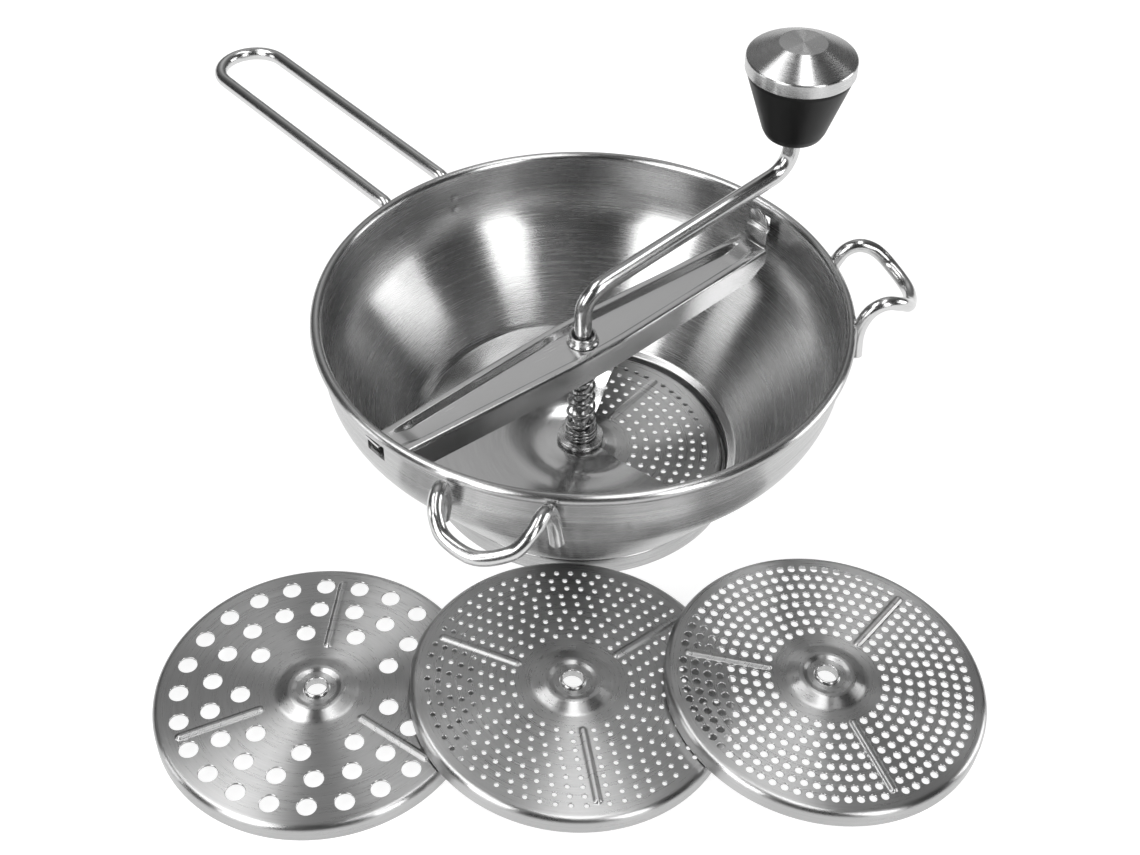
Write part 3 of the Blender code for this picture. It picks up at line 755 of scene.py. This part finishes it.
def plate_triangles(points, edges, rings):
    """Triangles of the plate without those inside its hub or holes."""
    owner = [0] * len(points)
    for number, ring in enumerate(rings):
        for index in ring:
            owner[index] = number
    flat = delaunay_2d_cdt(points, edges, [], 0, 1e-5)
    source = [origins[0] for origins in flat[3]]
    triangles = []
    for face in flat[2]:
        corners = [source[index] for index in face]
        owners = {owner[index] for index in corners}
        if len(owners) > 1 or owners == {0}:
            triangles.append(corners)
    return triangles


def add_rings(points, path, steps):
    """Rings of vertices, one for each (radius, height) of the path."""
    rows = []
    for radius, height in path:
        rows.append(list(range(len(points), len(points) + steps)))
        points += [polar(radius, 360 * k / steps, height) for k in range(steps)]
    return rows


def make_disc(node, body, holes, radius, sides):
    """A pressed disc with a turned-down rim, a dished dome, three ribs and its holes."""
    flat, edges, rings = plate_loops(holes, radius, sides)
    triangles = plate_triangles(flat, edges, rings)
    count = len(flat)
    top = [Vector((x, y, DISC_TOP + rib_height(x, y))) for x, y in flat]
    points = top + [point - Vector((0, 0, DISC_SHEET)) for point in top]
    faces = [tuple(corners) for corners in triangles]
    faces += [tuple(index + count for index in reversed(corners)) for corners in triangles]
    corners = [(PLATE_OUTER, DISC_TOP, 0), (DISC_RADIUS, DISC_TOP, 2.6), (DISC_RADIUS, 0, 0)]
    rim = filleted(corners, segments=9)
    rows = add_rings(points, rim[1:] + offset(rim, DISC_SHEET)[:0:-1], RIM_STEPS)
    faces += joined_rows([rings[0]] + rows + [[index + count for index in rings[0]]], closed=False)
    corners = [(BUSH_RADIUS + 0.3, DOME_TOP - 0.6, 0), (8.4, DOME_TOP - 0.6, 2.0)]
    corners += [(10.2, DOME_TOP + 0.1, 2.0), (11.8, DOME_TOP, 3.0)]
    corners += [(17.0, DISC_TOP, 6.0), (PLATE_INNER, DISC_TOP, 0)]
    dome = filleted(corners)
    rows = add_rings(points, dome[-2::-1] + offset(dome, DISC_SHEET)[:-1], HUB_STEPS)
    faces += joined_rows([rings[1]] + rows + [[index + count for index in rings[1]]], closed=False)
    for centre, ring in zip(holes, rings[2:]):
        rows = [ring]
        for height in (DISC_TOP - HOLE_EDGE, DISC_TOP - DISC_SHEET + HOLE_EDGE):
            rows.append(list(range(len(points), len(points) + sides)))
            for k in range(sides):
                points.append(centre.to_3d() + polar(radius, 360 * k / sides, height))
        faces += joined_rows(rows + [[index + count for index in ring]], closed=False)
    turn = Matrix.Rotation(math.radians(DISC_TURNS[node]), 3, "Z")
    points = [turn @ point for point in points]
    place = disc_place(node)
    disc = add_piece(node + "_plate", points, faces, finishes["disc"], place)
    settle(disc, body, "satin_steel", node)
    make_bush(node, body, place)


def make_bush(node, body, place):
    """The collar pressed into a disc's dome."""
    top = DOME_TOP + 0.6
    corners = [(BUSH_BORE, 6.0, 0.2), (BUSH_RADIUS, 6.0, 0.2), (BUSH_RADIUS, top, 0.5), (BUSH_BORE, top, 0.3)]
    bush = turned(node + "_collar", filleted(corners, True, 3), finishes["turned"], place, 48)
    settle(bush, body, "polished_wire", node + "_bush")


# Crossbar


def bar_section(along):
    """One section of the pressed channel at a place along the bar."""
    reach = abs(along)
    half = BAR_MIDDLE_HALF + (BAR_END_HALF - BAR_MIDDLE_HALF) * max(reach - 13, 0) / (BAR_END - 13)
    recess = 0.15 + (RIDGE_TOP - PANEL_TOP - 0.15) * (1 - blend(reach, BAR_END - 15, BAR_END - 5))
    foot = FLANGE_FOOT + 6.0 * blend(reach, BAR_END - 12, BAR_END + 2)
    panel = RIDGE_TOP - recess
    side = [(half, foot, 0), (half, RIDGE_TOP, 1.7), (half - 4.0, RIDGE_TOP, 1.2), (half - 6.0, panel, 1.0)]
    corners = [(-out, up, radius) for out, up, radius in side] + side[::-1]
    outer = filleted(corners, segments=5)
    return [Vector((along, out, up)) for out, up in outer + offset(outer, BAR_SHEET)[::-1]]


def make_crossbar():
    steps = 72
    sections = [bar_section(BAR_END * (2 * k / steps - 1)) for k in range(steps + 1)]
    bar = lofted("pressed_crossbar", sections, finishes["bar"], bar_place)
    cut_hole(bar, BAR_HOLE, PANEL_TOP - 4, RIDGE_TOP + 3)
    settle(bar, "crossbar", "brushed_steel", "crossbar")


def make_collar():
    """The raised boss round the shaft hole."""
    corners = [(4.6, PANEL_TOP - 1.6, 0.2), (5.3, PANEL_TOP - 1.6, 0.2), (5.3, PANEL_TOP + 0.3, 0)]
    corners += [(7.6, PANEL_TOP + 0.3, 0.2), (6.5, PANEL_TOP + 1.4, 1.4), (6.2, PANEL_TOP + 4.2, 0.5)]
    corners += [(5.3, PANEL_TOP + 4.2, 0.2), (4.6, PANEL_TOP + 2.0, 0.4)]
    collar = turned("shaft_collar", filleted(corners, True, 4), finishes["turned"], mill_place, 64)
    settle(collar, "crossbar", "brushed_steel", "crossbar_collar")


def strip_section(point, ahead, half_width, thickness, shift):
    """A thin rounded rectangle across a strip that runs in the bar's X-Z plane."""
    signs = ((-1, -1), (1, -1), (1, 1), (-1, 1))
    corners = [(i * half_width, j * thickness / 2, thickness * 0.3) for i, j in signs]
    normal = Vector((-ahead.y, ahead.x))
    section = []
    for aside, out in filleted(corners, True, 2):
        spot = point + normal * out
        section.append(Vector((spot.x, aside + shift, spot.y)))
    return section


def bent_strip(name, corners, thickness, half_width, shift, round_end=0.0):
    """A strip bent along a 2-D path of (along, height, radius), with its far end rounded."""
    path = divided(filleted(corners, segments=8), 0.5)
    reach = [0.0]
    for start, end in zip(path, path[1:]):
        reach.append(reach[-1] + (end - start).length)
    sections = []
    for i, point in enumerate(path):
        ahead = (path[min(i + 1, len(path) - 1)] - path[max(i - 1, 0)]).normalized()
        left = reach[-1] - reach[i]
        narrow = 1.0
        if left < round_end:
            narrow = max(math.sqrt(max(1 - (1 - left / round_end) ** 2, 0.0)), 0.12)
        sections.append(strip_section(point, ahead, half_width * narrow, thickness, shift))
    return lofted(name, sections, finishes["bar"], bar_place)


def make_bar_ends():
    level = RIDGE_TOP - BAR_SHEET - 0.95
    upright = BAR_END + 2.4
    tab = [(BAR_END - 4, level, 0), (upright, level, 1.6), (upright, 86.0, 1.5), (upright + 1.6, 88.2, 1.2)]
    tab += [(upright - 0.3, 90.6, 1.5), (upright - 0.3, 97.0, 0)]
    piece = bent_strip("upright_finger_tab", tab, BAR_SHEET, 6.5, 0.0, 6.5)
    settle(piece, "crossbar", "brushed_steel", "finger_tab")
    tongue = [(-BAR_END + 4, level, 0), (-112.4, level, 1.4), (-112.4, 89.8, 1.4), (-118.4, 89.8, 0)]
    piece = bent_strip("hinge_tongue", tongue, BAR_SHEET, 4.4, TONGUE_SHIFT)
    settle(piece, "crossbar", "brushed_steel", "crossbar_tongue")


# Spring, crank and blade


def make_spring():
    per_turn = 30
    turns = CLOSED_COILS + OPEN_COILS
    closed_rise = CLOSED_COILS * (SPRING_WIRE + 0.45)
    open_rise = SPRING_TOP - SPRING_FOOT - SPRING_WIRE - closed_rise
    path = []
    for i in range(int(turns * per_turn) + 1):
        turn = i / per_turn
        closed = min(turn / CLOSED_COILS, 1.0) * closed_rise
        opened = max(turn - CLOSED_COILS, 0.0) / OPEN_COILS * open_rise
        radius = 7.1 - 1.3 * blend(turn, 1.0, 6.0)
        path.append(polar(radius, 360 * turn + 200, SPRING_FOOT + SPRING_WIRE / 2 + closed + opened))
    spring = tube("coil_spring", path, SPRING_WIRE / 2, finishes["spring"], mill_place, 12)
    settle(spring, "carriage", "spring_steel", "pressure_spring")
    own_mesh(spring)


def make_spring_seat():
    corners = [(4.5, 17.2, 0.2), (10.9, 17.2, 0.4), (10.9, 18.6, 0.6)]
    corners += [(5.6, 18.6, 0.4), (5.5, 24.0, 0.5), (4.5, 24.0, 0.2)]
    seat = turned("flanged_spring_seat", filleted(corners, True, 3), finishes["turned"], mill_place, 64)
    settle(seat, "carriage", "brushed_steel", "spring_seat")


def make_crank_rod():
    reach = Vector((math.cos(crank_turn), math.sin(crank_turn), 0)) * crank_reach
    corners = [Vector((0, 0, ROD_FOOT)), Vector((0, 0, ELBOW_HEIGHT))]
    corners += [reach + Vector((0, 0, ARM_END_HEIGHT)), reach + Vector((0, 0, CAP_FOOT))]
    spigot = [Vector((0, 0, SPIGOT_FOOT)), Vector((0, 0, ROD_FOOT - 0.1))]
    path = spigot + divided(rounded(corners, BEND_RADIUS), 5.0)
    radii = [ROD / 2 * 0.42, ROD / 2 * 0.58] + [ROD / 2] * (len(path) - 2)
    rod = tube("bent_crank_rod", path, ROD / 2, finishes["wire"], mill_place, 40, radii)
    settle(rod, "crank", "polished_wire", "crank_rod")


def blade_point(radius, share, azimuth):
    """Underside of the blade: a cone at the hub, and a ramp that rises towards the leading edge."""
    hub = BLADE_HUB_LIFT * (1 - blend(radius, 12, 25))
    ramp = BLADE_RISE * share**1.15 * blend(radius, 10, 38)
    return polar(radius, azimuth, BLADE_LOW + hub + ramp)


def make_blade():
    rows, columns = 150, 36
    sections = []
    for i in range(rows + 1):
        share = (i / rows) ** 0.85
        azimuth = BLADE_START - BLADE_SWEEP * share
        edge = read_smoothly(share, BLADE_EDGE)
        low = []
        for k in range(columns + 1):
            radius = BLADE_BORE + (edge - BLADE_BORE) * k / columns
            low.append(blade_point(radius, share, azimuth))
        high = [point + Vector((0, 0, BLADE_SHEET)) for point in low]
        lip = blade_point(edge + BLADE_SHEET * 0.3, share, azimuth) + Vector((0, 0, BLADE_SHEET / 2))
        sections.append(low + [lip] + high[::-1])
    blade = lofted("helical_blade", sections, finishes["blade"], mill_place, 50)
    settle(blade, "crank", "satin_steel", "blade")


def make_blade_sleeve():
    corners = [(4.4, 14.4, 0.2), (7.9, 14.4, 0.2), (7.9, 16.25, 0)]
    corners += [(11.4, 16.25, 0.2), (9.8, 16.9, 0.6), (4.4, 16.9, 0.2)]
    hub = turned("blade_sleeve", filleted(corners, True, 3), finishes["turned"], mill_place, 64)
    settle(hub, "crank", "satin_steel", "blade_hub")


# Knob


def make_knob():
    grip = [(6.3, KNOB_FOOT, 0), (12.6, KNOB_FOOT, 2.6), (14.6, KNOB_FOOT + 3.8, 5.0)]
    grip += [(23.5, CAP_FOOT - 2.0, 3.0), (23.5, CAP_FOOT - 0.3, 0.2), (6.3, CAP_FOOT - 0.3, 0)]
    body = turned("knob_grip", filleted(grip, True, 6), finishes["plastic"], knob_place, 128)
    settle(body, "knob", "black_plastic", "knob_body")
    cap = [(7.6, CAP_FOOT, 0), (24.6, CAP_FOOT, 0.5), (24.6, KNOB_TOP - 6.9, 1.2), (10.6, KNOB_TOP, 1.2)]
    cap += [(0, KNOB_TOP, 0), (0, 182.6, 0), (7.6, 182.6, 0)]
    piece = turned("knob_steel_cap", filleted(cap, True, 6), finishes["turned"], knob_place, 128)
    settle(piece, "knob", "brushed_steel", "knob_cap")
    for node in ("knob_bush", "knob_rivet"):
        kept = frame["nodes"][node]
        kept.data.materials.clear()
        kept.data.materials.append(finishes["turned"])


# Studio

# The camera's place from the foot of the mill's axis, its angles in radians and its lens in millimetres.
CAMERA_PLACE = Vector((0, -581.81, 572.64)) * MM
CAMERA_DOWN = 0.75749
CAMERA_TURN = -0.00864
CAMERA_ROLL = 0.01627
LENS = 53.71

# Tones of the studio against how near a direction is to the bright one, from 0 to 1.
BRIGHT_DIRECTION = (0, 0.766, 0.643)
STUDIO_ENDS = ((0.0, 0.02), (1.0, 0.66))
STUDIO_TONES = ((0.45, 0.04), (0.80, 0.12), (0.94, 0.28), (0.985, 0.58))
FLOOR_REACH = 30.0
FLOOR_DROP = 0.0001


def make_camera():
    level = math.cos(CAMERA_DOWN)
    ahead = Vector((math.sin(CAMERA_TURN) * level, math.cos(CAMERA_TURN) * level, -math.sin(CAMERA_DOWN)))
    right = ahead.cross(Vector((0, 0, 1))).normalized()
    up = right.cross(ahead)
    rolled_right = right * math.cos(CAMERA_ROLL) + up * math.sin(CAMERA_ROLL)
    rolled_up = up * math.cos(CAMERA_ROLL) - right * math.sin(CAMERA_ROLL)
    data = bpy.data.cameras.new("camera")
    data.lens = LENS
    data.sensor_width = 36.0
    data.clip_start = 0.01
    camera = bpy.data.objects.new("camera", data)
    camera.matrix_world = Matrix((rolled_right, rolled_up, -ahead)).transposed().to_4x4()
    camera.matrix_world.translation = mill_place.translation + CAMERA_PLACE
    bpy.context.scene.collection.objects.link(camera)
    bpy.context.scene.camera = camera


def add_softbox(name, place, size, radiance, aim=(0, 0, 0.05)):
    """A soft rectangular light of one radiance, aimed at a point by the mill's axis."""
    data = bpy.data.lights.new(name, "AREA")
    data.shape = "RECTANGLE"
    data.size, data.size_y = size
    data.energy = radiance * math.pi * size[0] * size[1]
    light = bpy.data.objects.new(name, data)
    light.location = mill_place.translation + Vector(place)
    light.rotation_euler = (Vector(aim) - Vector(place)).to_track_quat("-Z", "Y").to_euler()
    bpy.context.scene.collection.objects.link(light)


def around(azimuth, elevation, distance=1.8):
    level = polar(distance * math.cos(math.radians(elevation)), azimuth)
    return level + Vector((0, 0, distance * math.sin(math.radians(elevation))))


def make_lights():
    add_softbox("front_right_box", around(-50, 32), (0.50, 1.3), 5.0)
    add_softbox("front_left_box", around(-130, 32), (0.75, 1.3), 4.6)
    add_softbox("right_box", around(8, 18), (0.90, 0.7), 4.8)
    add_softbox("left_box", around(-174, 18), (0.5, 0.7), 3.0)
    add_softbox("top_left_box", (-1.1, 0.1, 2.2), (0.9, 1.8), 4.2, (-1.1, 0.1, 0))
    add_softbox("top_right_box", (0.35, 0.1, 2.2), (0.5, 1.8), 3.8, (0.35, 0.1, 0))


def make_world():
    """A dark studio with one wide, soft and bright zone high behind the mill."""
    world = bpy.data.worlds.new("studio")
    world.use_nodes = True
    tree = world.node_tree
    place = tree.nodes.new("ShaderNodeTexCoord")
    nearness = tree.nodes.new("ShaderNodeVectorMath")
    nearness.operation = "DOT_PRODUCT"
    nearness.inputs[1].default_value = BRIGHT_DIRECTION
    ramp = tree.nodes.new("ShaderNodeValToRGB")
    tree.links.new(place.outputs["Generated"], nearness.inputs[0])
    tree.links.new(nearness.outputs["Value"], ramp.inputs[0])
    tree.links.new(ramp.outputs[0], tree.nodes["Background"].inputs["Color"])
    stops = ramp.color_ramp.elements
    for stop, (spot, tone) in zip(stops, STUDIO_ENDS):
        stop.position = spot
        stop.color = (tone, tone, tone, 1)
    for spot, tone in STUDIO_TONES:
        stops.new(spot).color = (tone, tone, tone, 1)
    bpy.context.scene.world = world


def make_floor():
    """A wide flat table top, a little below the feet so that nothing cuts into it."""
    mesh = bpy.data.meshes.new("table_top")
    bm = bmesh.new()
    bmesh.ops.create_grid(bm, x_segments=8, y_segments=8, size=FLOOR_REACH)
    bm.to_mesh(mesh)
    bm.free()
    mesh.materials.append(lit_floor("lit_table"))
    floor = bpy.data.objects.new("table_top", mesh)
    floor.location.z = -FLOOR_DROP
    bpy.context.scene.collection.objects.link(floor)


make_camera()
make_bowl()
make_foot_ring()
make_long_handle()
make_hooks()
make_disc("fitted_disc", "mill", fine_pattern(7, 26.0, 59.0, 5.6, 5.2), 1.25, 12)
make_disc("coarse_disc", "coarse_spare", coarse_pattern(), 4.0, 32)
make_disc("fine_disc", "fine_spare", fine_pattern(9, 25.0, 60.0, 5.9, 4.6), 1.05, 12)
make_disc("medium_disc", "medium_spare", fine_pattern(8, 25.0, 60.0, 5.0, 4.6), 1.65, 14)
make_crossbar()
make_collar()
make_bar_ends()
make_spring()
make_spring_seat()
make_crank_rod()
make_blade()
make_blade_sleeve()
make_knob()
make_lights()
make_world()
make_floor()
bpy.context.scene.view_settings.view_transform = "Standard"
